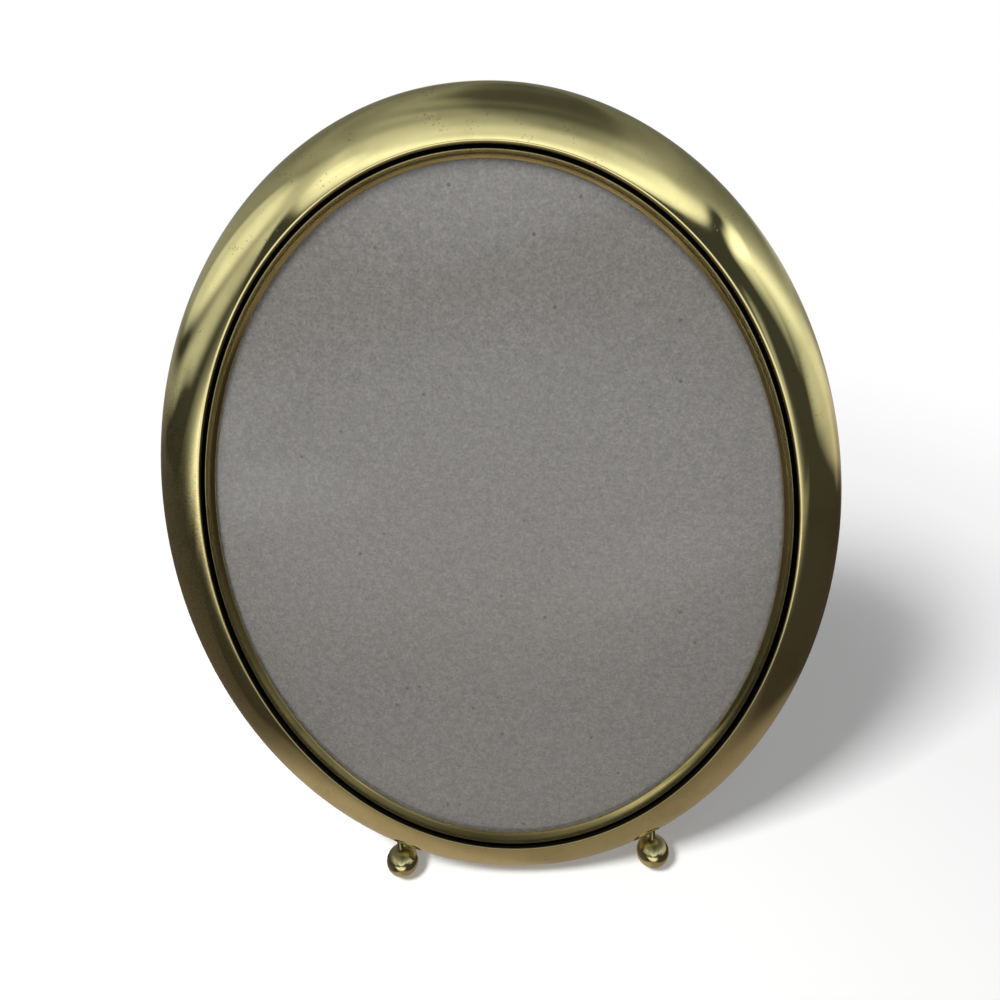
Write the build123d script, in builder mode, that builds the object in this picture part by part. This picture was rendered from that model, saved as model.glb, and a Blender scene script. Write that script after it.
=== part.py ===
"""An oval table frame: a domed brass ring on two ball feet, with glass, a back and an easel strut.

The front faces -Y, X runs to the right and Z is up. The ball feet and the strut's foot stand on Z = 0.
The frame leans back, so most pieces are drawn in its own face plane: x to the right, y up the face,
and depth along the plane's normal, counted from the ring's crest, so that every depth is negative.
Across the ring, a reach is the distance outwards from the edge of the sight opening.
"""
import os
from math import atan2, cos, degrees, hypot, radians, sin, sqrt, tan

from build123d import *

os.makedirs("parts", exist_ok=True)

# Stance, in degrees
lean = 17.0  # the frame leans back from upright
strut_rake = 13.0  # the open strut leans out from upright

# Sight opening
sight_width = 181.5
sight_height = 232.0

# Front moulding, a stamped shell
dome_width = 15.5  # crest to outer edge
dome_depth = 11.0  # crest to the widest point
crest_roll = 1.35  # radius where the crest rolls into the groove
inner_skirt = 3.05  # straight wall below that roll, down to the groove's floor
groove_width = 0.75  # open groove between that wall and the lip
outer_skirt = 1.0  # straight wall below the widest point
moulding_wall = 0.7
hem_width = 3.0  # turned in behind the back ring
hem_wall = 0.8

# Sight liner, a lip with a rebate wall behind it
lip_reach = 1.7  # lip over the glass
lip_drop = 3.4  # lip's edge below the crest
lip_edge = 0.6  # lip's thickness at the sight edge
lip_rise = 3.3  # lip's slope, up towards the groove
lip_round = 0.3
liner_wall = 0.6

# What lies in the rebate, front to back; the pad fills the depth that is left
glass_thickness = 2.0
card_thickness = 1.6
board_thickness = 2.4
cover_thickness = 0.6

# Back ring and turn buttons
ring_thickness = 1.0
button_angles = {"upper_left": 130.0, "upper_right": 50.0, "lower_left": 230.0, "lower_right": 310.0}
button_reach = 9.0  # pivot's place across the ring
button_arm = 12.0
button_pivot_radius = 5.0
button_tip_radius = 4.0
button_thickness = 1.0
washer_radius = 4.0
washer_thickness = 0.4
pivot_radius = 1.5
rivet_head_radius = 3.2
rivet_head_height = 0.9

# Ball feet
foot_spacing = 97.5
foot_radius = 6.2
foot_neck = 3.55  # moulding's edge to the top of the ball
foot_depth = -8.6
stud_radius = 1.1
stud_length = 19.0  # from the ball's centre
block_width = 12.0
block_height = 9.0

# Easel strut and its hinge
hinge_height = 35.0  # axis above the middle of the oval
leaf_width = 40.0
leaf_length = 26.0
leaf_wall = 0.8
leaf_corner = 4.0
barrel_radius = 2.0
pin_radius = 1.1
knuckle_width = 19.4  # the strut's knuckle, in the middle
heel_length = 8.0
heel_width = 14.0
strut_top_width = 52.0
strut_foot_width = 38.0
strut_thickness = 2.4
strut_corner = 5.0
strut_cover_thickness = 0.5
strut_top_gap = 1.2  # hinge barrel to the strut's top edge
small_rivet_radius = 1.2
small_head_radius = 2.6
small_head_height = 0.6
rivet_spacing_x = 26.0
rivet_spacing_y = 12.0

# Clearances
seat_gap = 0.1  # moulding to liner, ring to moulding, studs in their holes
rebate_gap = 0.4  # glass, card and boards inside the rebate wall
running_gap = 0.08  # buttons on their pivots, the strut's knuckle on the pin
knuckle_gap = 0.3  # between knuckles, and barrel or heel to the board's leaf
pocket_gap = 0.5  # pad round the rivet tails

# Reaches across the ring
half_width = sight_width / 2
half_height = sight_height / 2
liner_reach = lip_reach + liner_wall
floor_reach = liner_reach + seat_gap
groove_reach = liner_reach + groove_width
crest_reach = groove_reach + crest_roll
outer_reach = crest_reach + dome_width
pane_reach = lip_reach - rebate_gap

# Depths below the crest
floor_depth = -(crest_roll + inner_skirt)
back_depth = -(dome_depth + outer_skirt)
hem_depth = back_depth - hem_wall
ring_depth = back_depth + ring_thickness
glass_depth = -(lip_drop + lip_edge)
card_depth = glass_depth - glass_thickness
pad_depth = card_depth - card_thickness
cover_depth = back_depth + cover_thickness
board_depth = cover_depth + board_thickness
washer_depth = back_depth - washer_thickness
button_depth = washer_depth - running_gap
button_back = button_depth - button_thickness
leaf_depth = back_depth - leaf_wall
hinge_depth = leaf_depth - knuckle_gap - barrel_radius

# Places in the face plane
lean_cos = cos(radians(lean))
lean_sin = sin(radians(lean))
rake = radians(strut_rake)
foot_x = foot_spacing / 2
edge_at_foot = (half_height + outer_reach) * sqrt(1 - (foot_x / (half_width + outer_reach)) ** 2)
foot_y = -(edge_at_foot + foot_neck + foot_radius)
strut_skin = barrel_radius - leaf_wall  # hinge axis back to the strut's velvet

# The middle of the oval, so that the feet stand on Z = 0 and Y = 0 is halfway from front to back
centre_z = foot_radius - foot_y * lean_cos - foot_depth * lean_sin
hinge_z = centre_z + hinge_height * lean_cos + hinge_depth * lean_sin
ball_front = foot_y * lean_sin - foot_depth * lean_cos - foot_radius
dome_bulge = hypot(dome_width * lean_sin, dome_depth * lean_cos) - dome_depth * lean_cos
ring_front = -(half_height + crest_reach) * lean_sin - dome_bulge
front_y = min(ball_front, ring_front)
rear_y = hinge_height * lean_sin - hinge_depth * lean_cos + hinge_z * tan(rake) + strut_skin / cos(rake)
centre_y = -(front_y + rear_y) / 2

face_plane = Plane(origin=(0, centre_y, centre_z), x_dir=(1, 0, 0), z_dir=(0, -lean_cos, lean_sin))
section_plane = Plane(origin=face_plane.origin, x_dir=(1, 0, 0), z_dir=-face_plane.y_dir)
hinge_point = face_plane.from_local_coords(Vector(0, hinge_height, hinge_depth))
strut_plane = Plane(origin=hinge_point, x_dir=(1, 0, 0), z_dir=(0, -cos(rake), -sin(rake)))
axle_plane = Plane(origin=hinge_point, x_dir=face_plane.y_dir, z_dir=(1, 0, 0))


def oval(reach):
    """Draw a filled oval that runs the given reach outside the sight opening."""
    return Ellipse(half_width + reach, half_height + reach)


def ring_point(angle, reach):
    """Return a point across the ring, and the way out from the opening there, in degrees."""
    x = half_width * cos(radians(angle))
    y = half_height * sin(radians(angle))
    out = atan2(half_width * sin(radians(angle)), half_height * cos(radians(angle)))
    return x + reach * cos(out), y + reach * sin(out), degrees(out)


def foot_plane(side):
    """Return the plane across a foot's axis at its ball's centre, with its normal up the face."""
    centre = face_plane.from_local_coords(Vector(side * foot_x, foot_y, foot_depth))
    return Plane(origin=centre, x_dir=(1, 0, 0), z_dir=face_plane.y_dir)


def section_point(reach, depth):
    """Return a point of the ring's cross-section, which is drawn at the right-hand end of the oval."""
    return half_width + reach, depth


button_places = {name: ring_point(angle, button_reach) for name, angle in button_angles.items()}
button_pivots = [(x, y) for x, y, out in button_places.values()]
leaf_foot_y = hinge_height + barrel_radius - leaf_wall
leaf_centre_y = leaf_foot_y + leaf_length / 2
strut_top = -(barrel_radius + strut_top_gap)
strut_leaf_centre = strut_top - leaf_length / 2
strut_length = hinge_z / cos(rake)
strut_board_depth = strut_cover_thickness - strut_skin
sides = {"left": -1, "right": 1}

with BuildLine(face_plane) as sight_edge:
    EllipticalCenterArc((0, 0), half_width, half_height, start_angle=0, arc_size=360)
sight_path = sight_edge.wires()[0]

# Front moulding: one section of the shell, swept round the oval
with BuildPart() as front_moulding:
    with BuildSketch(section_plane):
        dome_centre = section_point(crest_reach, -dome_depth)
        inner_crest = crest_roll - moulding_wall
        with BuildLine():
            Line(section_point(groove_reach, floor_depth), section_point(groove_reach, -crest_roll))
            RadiusArc(section_point(groove_reach, -crest_roll), section_point(crest_reach, 0), crest_roll)
            EllipticalCenterArc(dome_centre, dome_width, dome_depth, start_angle=0, arc_size=90)
            Polyline(
                section_point(outer_reach, -dome_depth),
                section_point(outer_reach, hem_depth),
                section_point(outer_reach - hem_width, hem_depth),
                section_point(outer_reach - hem_width, back_depth),
                section_point(outer_reach - moulding_wall, back_depth),
                section_point(outer_reach - moulding_wall, -dome_depth),
            )
            EllipticalCenterArc(
                dome_centre,
                dome_width - moulding_wall,
                dome_depth - moulding_wall,
                start_angle=0,
                arc_size=90,
            )
            RadiusArc(
                section_point(groove_reach + moulding_wall, -crest_roll),
                section_point(crest_reach, -moulding_wall),
                inner_crest,
            )
            Polyline(
                section_point(groove_reach + moulding_wall, -crest_roll),
                section_point(groove_reach + moulding_wall, floor_depth - moulding_wall),
                section_point(floor_reach, floor_depth - moulding_wall),
                section_point(floor_reach, floor_depth),
                section_point(groove_reach, floor_depth),
            )
        make_face()
    sweep(path=sight_path)
    for side in sides.values():
        with BuildSketch(foot_plane(side)):
            Circle(stud_radius + seat_gap)
        extrude(amount=stud_length, mode=Mode.SUBTRACT)
front_moulding.part.label = "front_moulding"
export_step(front_moulding.part, "parts/front_moulding.step")

# The hollow inside the moulding, filled, so that the foot blocks can be cut to it
with BuildPart() as hollow_form:
    with BuildSketch(section_plane):
        with BuildLine():
            EllipticalCenterArc(
                dome_centre,
                dome_width - moulding_wall,
                dome_depth - moulding_wall,
                start_angle=0,
                arc_size=90,
            )
            Polyline(
                section_point(outer_reach - moulding_wall, -dome_depth),
                section_point(outer_reach - moulding_wall, back_depth),
                section_point(crest_reach, back_depth),
                section_point(crest_reach, -moulding_wall),
            )
        make_face()
    sweep(path=sight_path)

# Sight liner: the lip over the glass, and the wall that runs back to the back ring
with BuildPart() as sight_liner:
    with BuildSketch(section_plane) as liner_section:
        with BuildLine():
            Polyline(
                section_point(0, glass_depth),
                section_point(0, -lip_drop),
                section_point(liner_reach, lip_rise - lip_drop),
                section_point(liner_reach, ring_depth),
                section_point(lip_reach, ring_depth),
                section_point(lip_reach, glass_depth),
                close=True,
            )
        make_face()
        fillet(liner_section.vertices().group_by(Axis.Y)[-1], lip_round)
    sweep(path=sight_path)
sight_liner.part.label = "sight_liner"
export_step(sight_liner.part, "parts/sight_liner.step")

# Glass, card, pad and board lie in the rebate, one behind the other
with BuildPart() as glass_pane:
    with BuildSketch(face_plane.offset(glass_depth)):
        oval(pane_reach)
    extrude(amount=-glass_thickness)
glass_pane.part.label = "glass_pane"
export_step(glass_pane.part, "parts/glass_pane.step")

with BuildPart() as filler_card:
    with BuildSketch(face_plane.offset(card_depth)):
        oval(pane_reach)
    extrude(amount=-card_thickness)
filler_card.part.label = "filler_card"
export_step(filler_card.part, "parts/filler_card.step")

with BuildPart() as spacer_pad:
    with BuildSketch(face_plane.offset(pad_depth)):
        oval(pane_reach)
        with Locations((0, leaf_centre_y)):
            with GridLocations(rivet_spacing_x, rivet_spacing_y, 2, 2):
                Circle(small_head_radius + pocket_gap, mode=Mode.SUBTRACT)
    extrude(amount=board_depth - pad_depth)
spacer_pad.part.label = "spacer_pad"
export_step(spacer_pad.part, "parts/spacer_pad.step")

with BuildPart() as back_board:
    with BuildSketch(face_plane.offset(board_depth)):
        oval(pane_reach)
        with Locations((0, leaf_centre_y)):
            with GridLocations(rivet_spacing_x, rivet_spacing_y, 2, 2):
                Circle(small_rivet_radius, mode=Mode.SUBTRACT)
    extrude(amount=-board_thickness)
back_board.part.label = "back_board"
export_step(back_board.part, "parts/back_board.step")

with BuildPart() as back_cover:
    with BuildSketch(face_plane.offset(cover_depth)):
        oval(pane_reach)
        with Locations((0, leaf_centre_y)):
            with GridLocations(rivet_spacing_x, rivet_spacing_y, 2, 2):
                Circle(small_rivet_radius, mode=Mode.SUBTRACT)
    extrude(amount=-cover_thickness)
back_cover.part.label = "back_cover"
export_step(back_cover.part, "parts/back_cover.step")

# Back ring: closes the hollow moulding, and carries the turn buttons
with BuildPart() as back_ring:
    with BuildSketch(face_plane.offset(ring_depth)):
        oval(outer_reach - moulding_wall - seat_gap)
        Ellipse(half_width + lip_reach, half_height + lip_reach, mode=Mode.SUBTRACT)
        with Locations(*button_pivots):
            Circle(pivot_radius, mode=Mode.SUBTRACT)
    extrude(amount=-ring_thickness)
back_ring.part.label = "back_ring"
export_step(back_ring.part, "parts/back_ring.step")

# Turn buttons: a tongue that points inwards over the back, each on its own pivot
for name, (x, y, out) in button_places.items():
    button_plane = Plane(face_plane.location * Location((x, y, button_depth), (0, 0, out)))
    with BuildPart() as turn_button:
        with BuildSketch(button_plane):
            Circle(button_pivot_radius)
            with Locations((-button_arm, 0)):
                Circle(button_tip_radius)
            make_hull()
            Circle(pivot_radius + running_gap, mode=Mode.SUBTRACT)
        extrude(amount=-button_thickness)
    turn_button.part.label = f"turn_button_{name}"
    export_step(turn_button.part, f"parts/turn_button_{name}.step")

with BuildPart() as button_washers:
    with BuildSketch(face_plane.offset(back_depth)):
        with Locations(*button_pivots):
            Circle(washer_radius)
            Circle(pivot_radius, mode=Mode.SUBTRACT)
    extrude(amount=-washer_thickness)
button_washers.part.label = "button_washers"
export_step(button_washers.part, "parts/button_washers.step")

with BuildPart() as button_rivets:
    with BuildSketch(face_plane.offset(ring_depth)):
        with Locations(*button_pivots):
            Circle(pivot_radius)
    extrude(amount=button_back - running_gap - ring_depth)
    with BuildSketch(face_plane.offset(ring_depth)):
        with Locations(*button_pivots):
            Circle(rivet_head_radius)
    extrude(amount=rivet_head_height)
    with BuildSketch(face_plane.offset(button_back - running_gap)):
        with Locations(*button_pivots):
            Circle(rivet_head_radius)
    extrude(amount=-rivet_head_height, taper=30)
button_rivets.part.label = "button_rivets"
export_step(button_rivets.part, "parts/button_rivets.step")

# Ball feet, each with its stud, and the block inside the moulding that holds it
for name, side in sides.items():
    plane = foot_plane(side)

    with BuildPart(plane) as ball_foot:
        Sphere(foot_radius)
        with BuildSketch(plane):
            Circle(stud_radius)
        extrude(amount=stud_length)
    ball_foot.part.label = f"ball_foot_{name}"
    export_step(ball_foot.part, f"parts/ball_foot_{name}.step")

    with BuildPart() as foot_block:
        add(hollow_form.part)
        with BuildSketch(plane.offset(stud_length - block_height)):
            with Locations((0, foot_depth - ring_depth)):
                Rectangle(block_width, dome_depth, align=(Align.CENTER, Align.MAX))
        extrude(amount=block_height, mode=Mode.INTERSECT)
        add(ball_foot.part, mode=Mode.SUBTRACT)
    foot_block.part.label = f"foot_block_{name}"
    export_step(foot_block.part, f"parts/foot_block_{name}.step")

# Hinge: the board's leaf with two outer knuckles, the strut's leaf with the middle one, and the pin
outer_knuckle = (leaf_width - knuckle_width) / 2 - knuckle_gap

with BuildPart() as hinge_board_leaf:
    with BuildSketch(face_plane.offset(back_depth)) as leaf_outline:
        with Locations((0, leaf_centre_y)):
            Rectangle(leaf_width, leaf_length)
        fillet(leaf_outline.vertices().group_by(Axis.Y)[-1], leaf_corner)
        with Locations((0, leaf_centre_y)):
            with GridLocations(rivet_spacing_x, rivet_spacing_y, 2, 2):
                Circle(small_rivet_radius, mode=Mode.SUBTRACT)
    extrude(amount=-leaf_wall)
    for start in (-leaf_width / 2, leaf_width / 2 - outer_knuckle):
        with BuildSketch(axle_plane.offset(start)):
            Circle(barrel_radius)
            with Locations((barrel_radius, 0)):
                Rectangle(leaf_wall, back_depth - hinge_depth, align=(Align.MAX, Align.MIN))
        extrude(amount=outer_knuckle)
    with BuildSketch(axle_plane.offset(-leaf_width / 2)):
        Circle(pin_radius)
    extrude(amount=leaf_width, mode=Mode.SUBTRACT)
hinge_board_leaf.part.label = "hinge_board_leaf"
export_step(hinge_board_leaf.part, "parts/hinge_board_leaf.step")

with BuildPart() as hinge_strut_leaf:
    with BuildSketch(strut_plane.offset(-barrel_radius)) as leaf_outline:
        with Locations((0, strut_leaf_centre)):
            Rectangle(leaf_width, leaf_length)
        fillet(leaf_outline.vertices().group_by(Axis.Y)[0], leaf_corner)
        Rectangle(knuckle_width, -strut_top, align=(Align.CENTER, Align.MAX))
        with Locations((0, strut_leaf_centre)):
            with GridLocations(rivet_spacing_x, rivet_spacing_y, 2, 2):
                Circle(small_rivet_radius, mode=Mode.SUBTRACT)
    extrude(amount=leaf_wall)
    with BuildSketch(axle_plane.offset(-knuckle_width / 2)):
        Circle(barrel_radius)
    extrude(amount=knuckle_width)
    with BuildSketch(face_plane.offset(leaf_depth - knuckle_gap)):
        with Locations((0, hinge_height)):
            Rectangle(heel_width, barrel_radius + heel_length, align=(Align.CENTER, Align.MIN))
    extrude(amount=-leaf_wall)
    with BuildSketch(axle_plane.offset(-knuckle_width / 2)):
        Circle(pin_radius + running_gap)
    extrude(amount=knuckle_width, mode=Mode.SUBTRACT)
hinge_strut_leaf.part.label = "hinge_strut_leaf"
export_step(hinge_strut_leaf.part, "parts/hinge_strut_leaf.step")

with BuildPart() as hinge_pin:
    with BuildSketch(axle_plane.offset(-leaf_width / 2)):
        Circle(pin_radius)
    extrude(amount=leaf_width)
hinge_pin.part.label = "hinge_pin"
export_step(hinge_pin.part, "parts/hinge_pin.step")

# Rivets: a tail behind the board or strut, a shank through it, and a head on the hinge leaf
with BuildPart() as board_rivets:
    with BuildSketch(face_plane.offset(board_depth)):
        with Locations((0, leaf_centre_y)):
            with GridLocations(rivet_spacing_x, rivet_spacing_y, 2, 2):
                Circle(small_head_radius)
    extrude(amount=small_head_height)
    with BuildSketch(face_plane.offset(board_depth)):
        with Locations((0, leaf_centre_y)):
            with GridLocations(rivet_spacing_x, rivet_spacing_y, 2, 2):
                Circle(small_rivet_radius)
    extrude(amount=leaf_depth - board_depth)
    with BuildSketch(face_plane.offset(leaf_depth)):
        with Locations((0, leaf_centre_y)):
            with GridLocations(rivet_spacing_x, rivet_spacing_y, 2, 2):
                Circle(small_head_radius)
    extrude(amount=-small_head_height, taper=30)
board_rivets.part.label = "board_rivets"
export_step(board_rivets.part, "parts/board_rivets.step")

with BuildPart() as strut_rivets:
    with BuildSketch(strut_plane.offset(strut_board_depth + strut_thickness)):
        with Locations((0, strut_leaf_centre)):
            with GridLocations(rivet_spacing_x, rivet_spacing_y, 2, 2):
                Circle(small_head_radius)
    extrude(amount=small_head_height)
    with BuildSketch(strut_plane.offset(-barrel_radius)):
        with Locations((0, strut_leaf_centre)):
            with GridLocations(rivet_spacing_x, rivet_spacing_y, 2, 2):
                Circle(small_rivet_radius)
    extrude(amount=leaf_wall + strut_cover_thickness + strut_thickness)
    with BuildSketch(strut_plane.offset(-barrel_radius)):
        with Locations((0, strut_leaf_centre)):
            with GridLocations(rivet_spacing_x, rivet_spacing_y, 2, 2):
                Circle(small_head_radius)
    extrude(amount=-small_head_height, taper=30)
strut_rivets.part.label = "strut_rivets"
export_step(strut_rivets.part, "parts/strut_rivets.step")


def strut_outline():
    """Draw the strut's tapered outline, run past the ground so that it can be cut level there."""
    Polygon(
        (strut_top_width / 2, strut_top),
        (-strut_top_width / 2, strut_top),
        (-strut_foot_width / 2, -strut_length),
        (-strut_foot_width / 2, -strut_length - foot_radius),
        (strut_foot_width / 2, -strut_length - foot_radius),
        (strut_foot_width / 2, -strut_length),
        align=None,
    )
    with Locations((0, strut_leaf_centre)):
        with GridLocations(rivet_spacing_x, rivet_spacing_y, 2, 2):
            Circle(small_rivet_radius, mode=Mode.SUBTRACT)


# Easel strut and its velvet, both cut level where they stand on the ground
with BuildPart() as easel_strut:
    with BuildSketch(strut_plane.offset(strut_board_depth)) as strut_shape:
        strut_outline()
        fillet(strut_shape.vertices().group_by(Axis.Y)[-1], strut_corner)
    extrude(amount=strut_thickness)
    split(bisect_by=Plane.XY, keep=Keep.TOP)
easel_strut.part.label = "easel_strut"
export_step(easel_strut.part, "parts/easel_strut.step")

with BuildPart() as strut_cover:
    with BuildSketch(strut_plane.offset(-strut_skin)) as strut_shape:
        strut_outline()
        fillet(strut_shape.vertices().group_by(Axis.Y)[-1], strut_corner)
    extrude(amount=strut_cover_thickness)
    split(bisect_by=Plane.XY, keep=Keep.TOP)
strut_cover.part.label = "strut_cover"
export_step(strut_cover.part, "parts/strut_cover.step")
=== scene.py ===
# %% [markdown]
# # An oval brass frame for the table
# The CAD model already holds every piece of this frame at its true size. This lesson gives those pieces
# their looks: the polished ring is drawn again as a smooth surface, cloth is laid on the back, each part
# gets a finish, and a light tent stands round it all. Everything is in metres and in the CAD model's frame.

from math import cos, pi, radians, sin

import bmesh
import bpy
import numpy as np
from mathutils import Matrix


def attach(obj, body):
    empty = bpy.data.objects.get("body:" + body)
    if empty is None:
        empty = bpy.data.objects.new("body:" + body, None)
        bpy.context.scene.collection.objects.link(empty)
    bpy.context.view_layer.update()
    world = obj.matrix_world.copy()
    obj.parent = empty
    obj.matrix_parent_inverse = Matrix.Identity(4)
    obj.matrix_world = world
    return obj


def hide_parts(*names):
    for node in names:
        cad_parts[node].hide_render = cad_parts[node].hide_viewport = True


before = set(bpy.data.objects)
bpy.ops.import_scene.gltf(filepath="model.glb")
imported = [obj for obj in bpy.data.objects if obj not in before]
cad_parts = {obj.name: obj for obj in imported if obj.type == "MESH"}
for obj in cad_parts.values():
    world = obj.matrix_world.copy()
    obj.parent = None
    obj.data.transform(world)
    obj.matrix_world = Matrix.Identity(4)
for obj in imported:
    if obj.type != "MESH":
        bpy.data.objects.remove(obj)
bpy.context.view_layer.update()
scene = bpy.context.scene
print("CAD nodes:", len(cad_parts))

# %% [markdown]
# ## Measures
# The frame leans back, so its pieces are easiest to describe in its own face: across, up the face, and
# depth, which is counted from the crest of the ring and is negative towards the back. The strut has such a
# frame too, with its start on the hinge. All lengths are those of the CAD model, in millimetres, so that the
# surfaces fit its solids.

# %% Two working frames
LEAN = radians(17)
RAKE = radians(13)
MM = 0.001
ACROSS = np.array((1.0, 0.0, 0.0))
UP_FACE = np.array((0.0, sin(LEAN), cos(LEAN)))
OUT = np.array((0.0, -cos(LEAN), sin(LEAN)))
CENTRE = np.array((0.0, -0.013608, 0.134707))
HINGE = np.array((0.0, 0.011065, 0.163763))
UP_STRUT = np.array((0.0, -sin(RAKE), cos(RAKE)))
OUT_STRUT = np.array((0.0, -cos(RAKE), -sin(RAKE)))


def along(base, axes, *lengths):
    """Point = base + the sum of each length (in mm, any array shape) times its axis."""
    parts = [MM * np.asarray(length, float)[..., None] * axis for length, axis in zip(lengths, axes)]
    return base + sum(parts)


def on_face(x, y, depth):
    """Point on the frame's face: x across, y up the face, depth out of it, in mm."""
    return along(CENTRE, (ACROSS, UP_FACE, OUT), *np.broadcast_arrays(x, y, depth))


def on_strut(x, y, depth):
    """Point on the strut: x across, y up from the hinge, depth towards the frame, in mm."""
    return along(HINGE, (ACROSS, UP_STRUT, OUT_STRUT), *np.broadcast_arrays(x, y, depth))


print("Middle of the face, mm:", np.round(on_face(0, 0, 0) / MM, 1))

# %% [markdown]
# ## Camera
# A close view from a little above the frame's own normal, with a wide field. Its place is given in the
# frame's face, so it keeps its view of the ring, and a small roll turns the picture. The function that aims
# it will aim the lamps too.

# %% Camera
EYE_SPOT = (15.4, 94.73, 214.94)
AIM_SPOT = (2.22, 18.66, 0)
ROLL = radians(-4.95)
SENSOR_WIDTH = 36
LENS_PER_SENSOR = 0.735
NEAREST_SEEN = 0.01


def aimed(spot, target, up, roll=0.0):
    """Placement that looks from spot to target: right = ahead x up, upward = right x ahead, then a roll."""
    ahead = np.subtract(target, spot) / np.linalg.norm(np.subtract(target, spot))
    right = np.cross(ahead, up) / np.linalg.norm(np.cross(ahead, up))
    upward = np.cross(right, ahead)
    rolled_right = cos(roll) * right + sin(roll) * upward
    rolled_up = cos(roll) * upward - sin(roll) * right
    axes = np.column_stack((rolled_right, rolled_up, -ahead))
    return Matrix.LocRotScale(spot, Matrix(axes.tolist()).to_quaternion(), None)


eye, aim = on_face(*EYE_SPOT), on_face(*AIM_SPOT)
camera = bpy.data.objects.new("camera", bpy.data.cameras.new("camera"))
camera.matrix_world = aimed(eye, aim, UP_FACE, ROLL)
camera.data.sensor_width = SENSOR_WIDTH
camera.data.lens = SENSOR_WIDTH * LENS_PER_SENSOR
camera.data.clip_start = NEAREST_SEEN
scene.collection.objects.link(camera)
scene.camera = camera
print("Camera at", np.round(eye, 4), "looking at", np.round(aim, 4))

# %% [markdown]
# ## From arrays to meshes
# Each new piece is a grid of points: rows one way, columns the other. A quad joins each point to its
# neighbours, the grid may close on itself either way, and rows that shrink to a point make a pole. The same
# grid gives the UV map, in metres along rows and columns, so that a pattern can follow the surface. A piece
# may also store a share of painted shade at each point, for its finish to read.

# %% Grid meshes
MERGE_DISTANCE = 1e-7
SHARP_EDGE = radians(35)


def path_length(points):
    """Running length along the first axis of a path of points, starting at 0."""
    steps = np.linalg.norm(np.diff(points, axis=0), axis=-1)
    return np.concatenate(((0.0,), np.cumsum(steps)))


def grid_faces(rows, columns, close_rows, close_columns):
    """Quads between neighbours; the row and column after the last are the first again where closed."""
    r = np.arange(rows if close_rows else rows - 1)[:, None]
    c = np.arange(columns if close_columns else columns - 1)[None, :]
    r, c = np.broadcast_arrays(r, c)
    corners = ((r, c), (r, c + 1), (r + 1, c + 1), (r + 1, c))
    quads = np.stack([(i % rows) * columns + j % columns for i, j in corners], -1).reshape(-1, 4)
    places = np.stack([np.stack((i, j), -1) for i, j in corners], -2).reshape(-1, 4, 2)
    return quads, places


def grid_uv(points, close_rows, close_columns):
    """Lengths along one column and one row, a third of the way in, and back to the start where closed."""
    middle_column = points[:, points.shape[1] // 3]
    middle_row = points[points.shape[0] // 3]
    if close_rows:
        middle_column = np.concatenate((middle_column, middle_column[:1]))
    if close_columns:
        middle_row = np.concatenate((middle_row, middle_row[:1]))
    return path_length(middle_column), path_length(middle_row)


def make_piece(name, grids, close=(True, True), painted_shade=None):
    """One mesh object from grids of points [row, column, xyz], faces outwards, with a share of painted shade
    at each point.
    """
    points, quads, uvs, count = [], [], [], 0
    for grid in grids:
        spots = grid.reshape(-1, 3)
        faces, places = grid_faces(*grid.shape[:2], *close)
        a, b, c, d = (spots[faces[:, k]] for k in range(4))
        volume = np.sum(np.cross(c - a, d - b) * (a + b + c + d - 4 * spots.mean(0)))
        if volume < 0:
            faces, places = faces[:, ::-1], places[:, ::-1]
        u, v = grid_uv(grid, *close)
        uvs.append(np.stack((u[places[..., 0]], v[places[..., 1]]), -1))
        points.append(spots)
        quads.append(faces + count)
        count += len(spots)
    mesh = bpy.data.meshes.new(name)
    mesh.from_pydata(np.concatenate(points), [], np.concatenate(quads).tolist())
    layer = mesh.uv_layers.new(name="surface")
    layer.data.foreach_set("uv", np.concatenate(uvs).ravel())
    # Share of painted shade at each point, stored for the finish to read
    if painted_shade is not None:
        shares = [np.broadcast_to(painted_shade, grid.shape[:2]).ravel() for grid in grids]
        attribute = mesh.attributes.new("painted_shade", "FLOAT", "POINT")
        attribute.data.foreach_set("value", np.concatenate(shares))
    work = bmesh.new()
    work.from_mesh(mesh)
    bmesh.ops.remove_doubles(work, verts=work.verts, dist=MERGE_DISTANCE)
    work.to_mesh(mesh)
    work.free()
    mesh.shade_smooth()
    mesh.set_sharp_from_angle(angle=SHARP_EDGE)
    piece = bpy.data.objects.new(name, mesh)
    scene.collection.objects.link(piece)
    print(f"{name}: {len(mesh.vertices)} points, {len(mesh.polygons)} faces")
    return piece


def place(piece, body, slot, *stands_for):
    """Let a piece ride on a body and stand for CAD nodes; the slot is not used."""
    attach(piece, body)
    if stands_for:
        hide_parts(*stands_for)
    return piece


# %% [markdown]
# ## The domed ring
# The front moulding is a stamped brass shell: a rolled inner edge, a broad dome, and a hem turned in at the
# back. It could be a bevelled curve, but a section carried round the oval by its own normals keeps the same
# width everywhere, which a scaled ellipse would not, and it leaves the reflections without a ripple.

# %% Section of the moulding
HALF_WIDTH = 90.75
HALF_HEIGHT = 116.0
RING_STEPS = 640
round_oval = np.linspace(0, 2 * pi, RING_STEPS, endpoint=False)[:, None]


def round_sight(section):
    """Carry (reach, depth) pairs round the oval: its point, plus reach along its outward normal."""
    x, y = HALF_WIDTH * np.cos(round_oval), HALF_HEIGHT * np.sin(round_oval)
    nx, ny = HALF_HEIGHT * np.cos(round_oval), HALF_WIDTH * np.sin(round_oval)
    size = np.hypot(nx, ny)
    reach, depth = section[None, :, 0], section[None, :, 1]
    return on_face(x + reach * nx / size, y + reach * ny / size, depth)


def arc(centre, radii, start, end, count):
    """Points of an elliptical arc about a centre, from one angle in degrees to another."""
    angle = np.radians(np.linspace(start, end, count))
    return np.stack((centre[0] + radii[0] * np.cos(angle), centre[1] + radii[1] * np.sin(angle)), -1)


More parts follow.
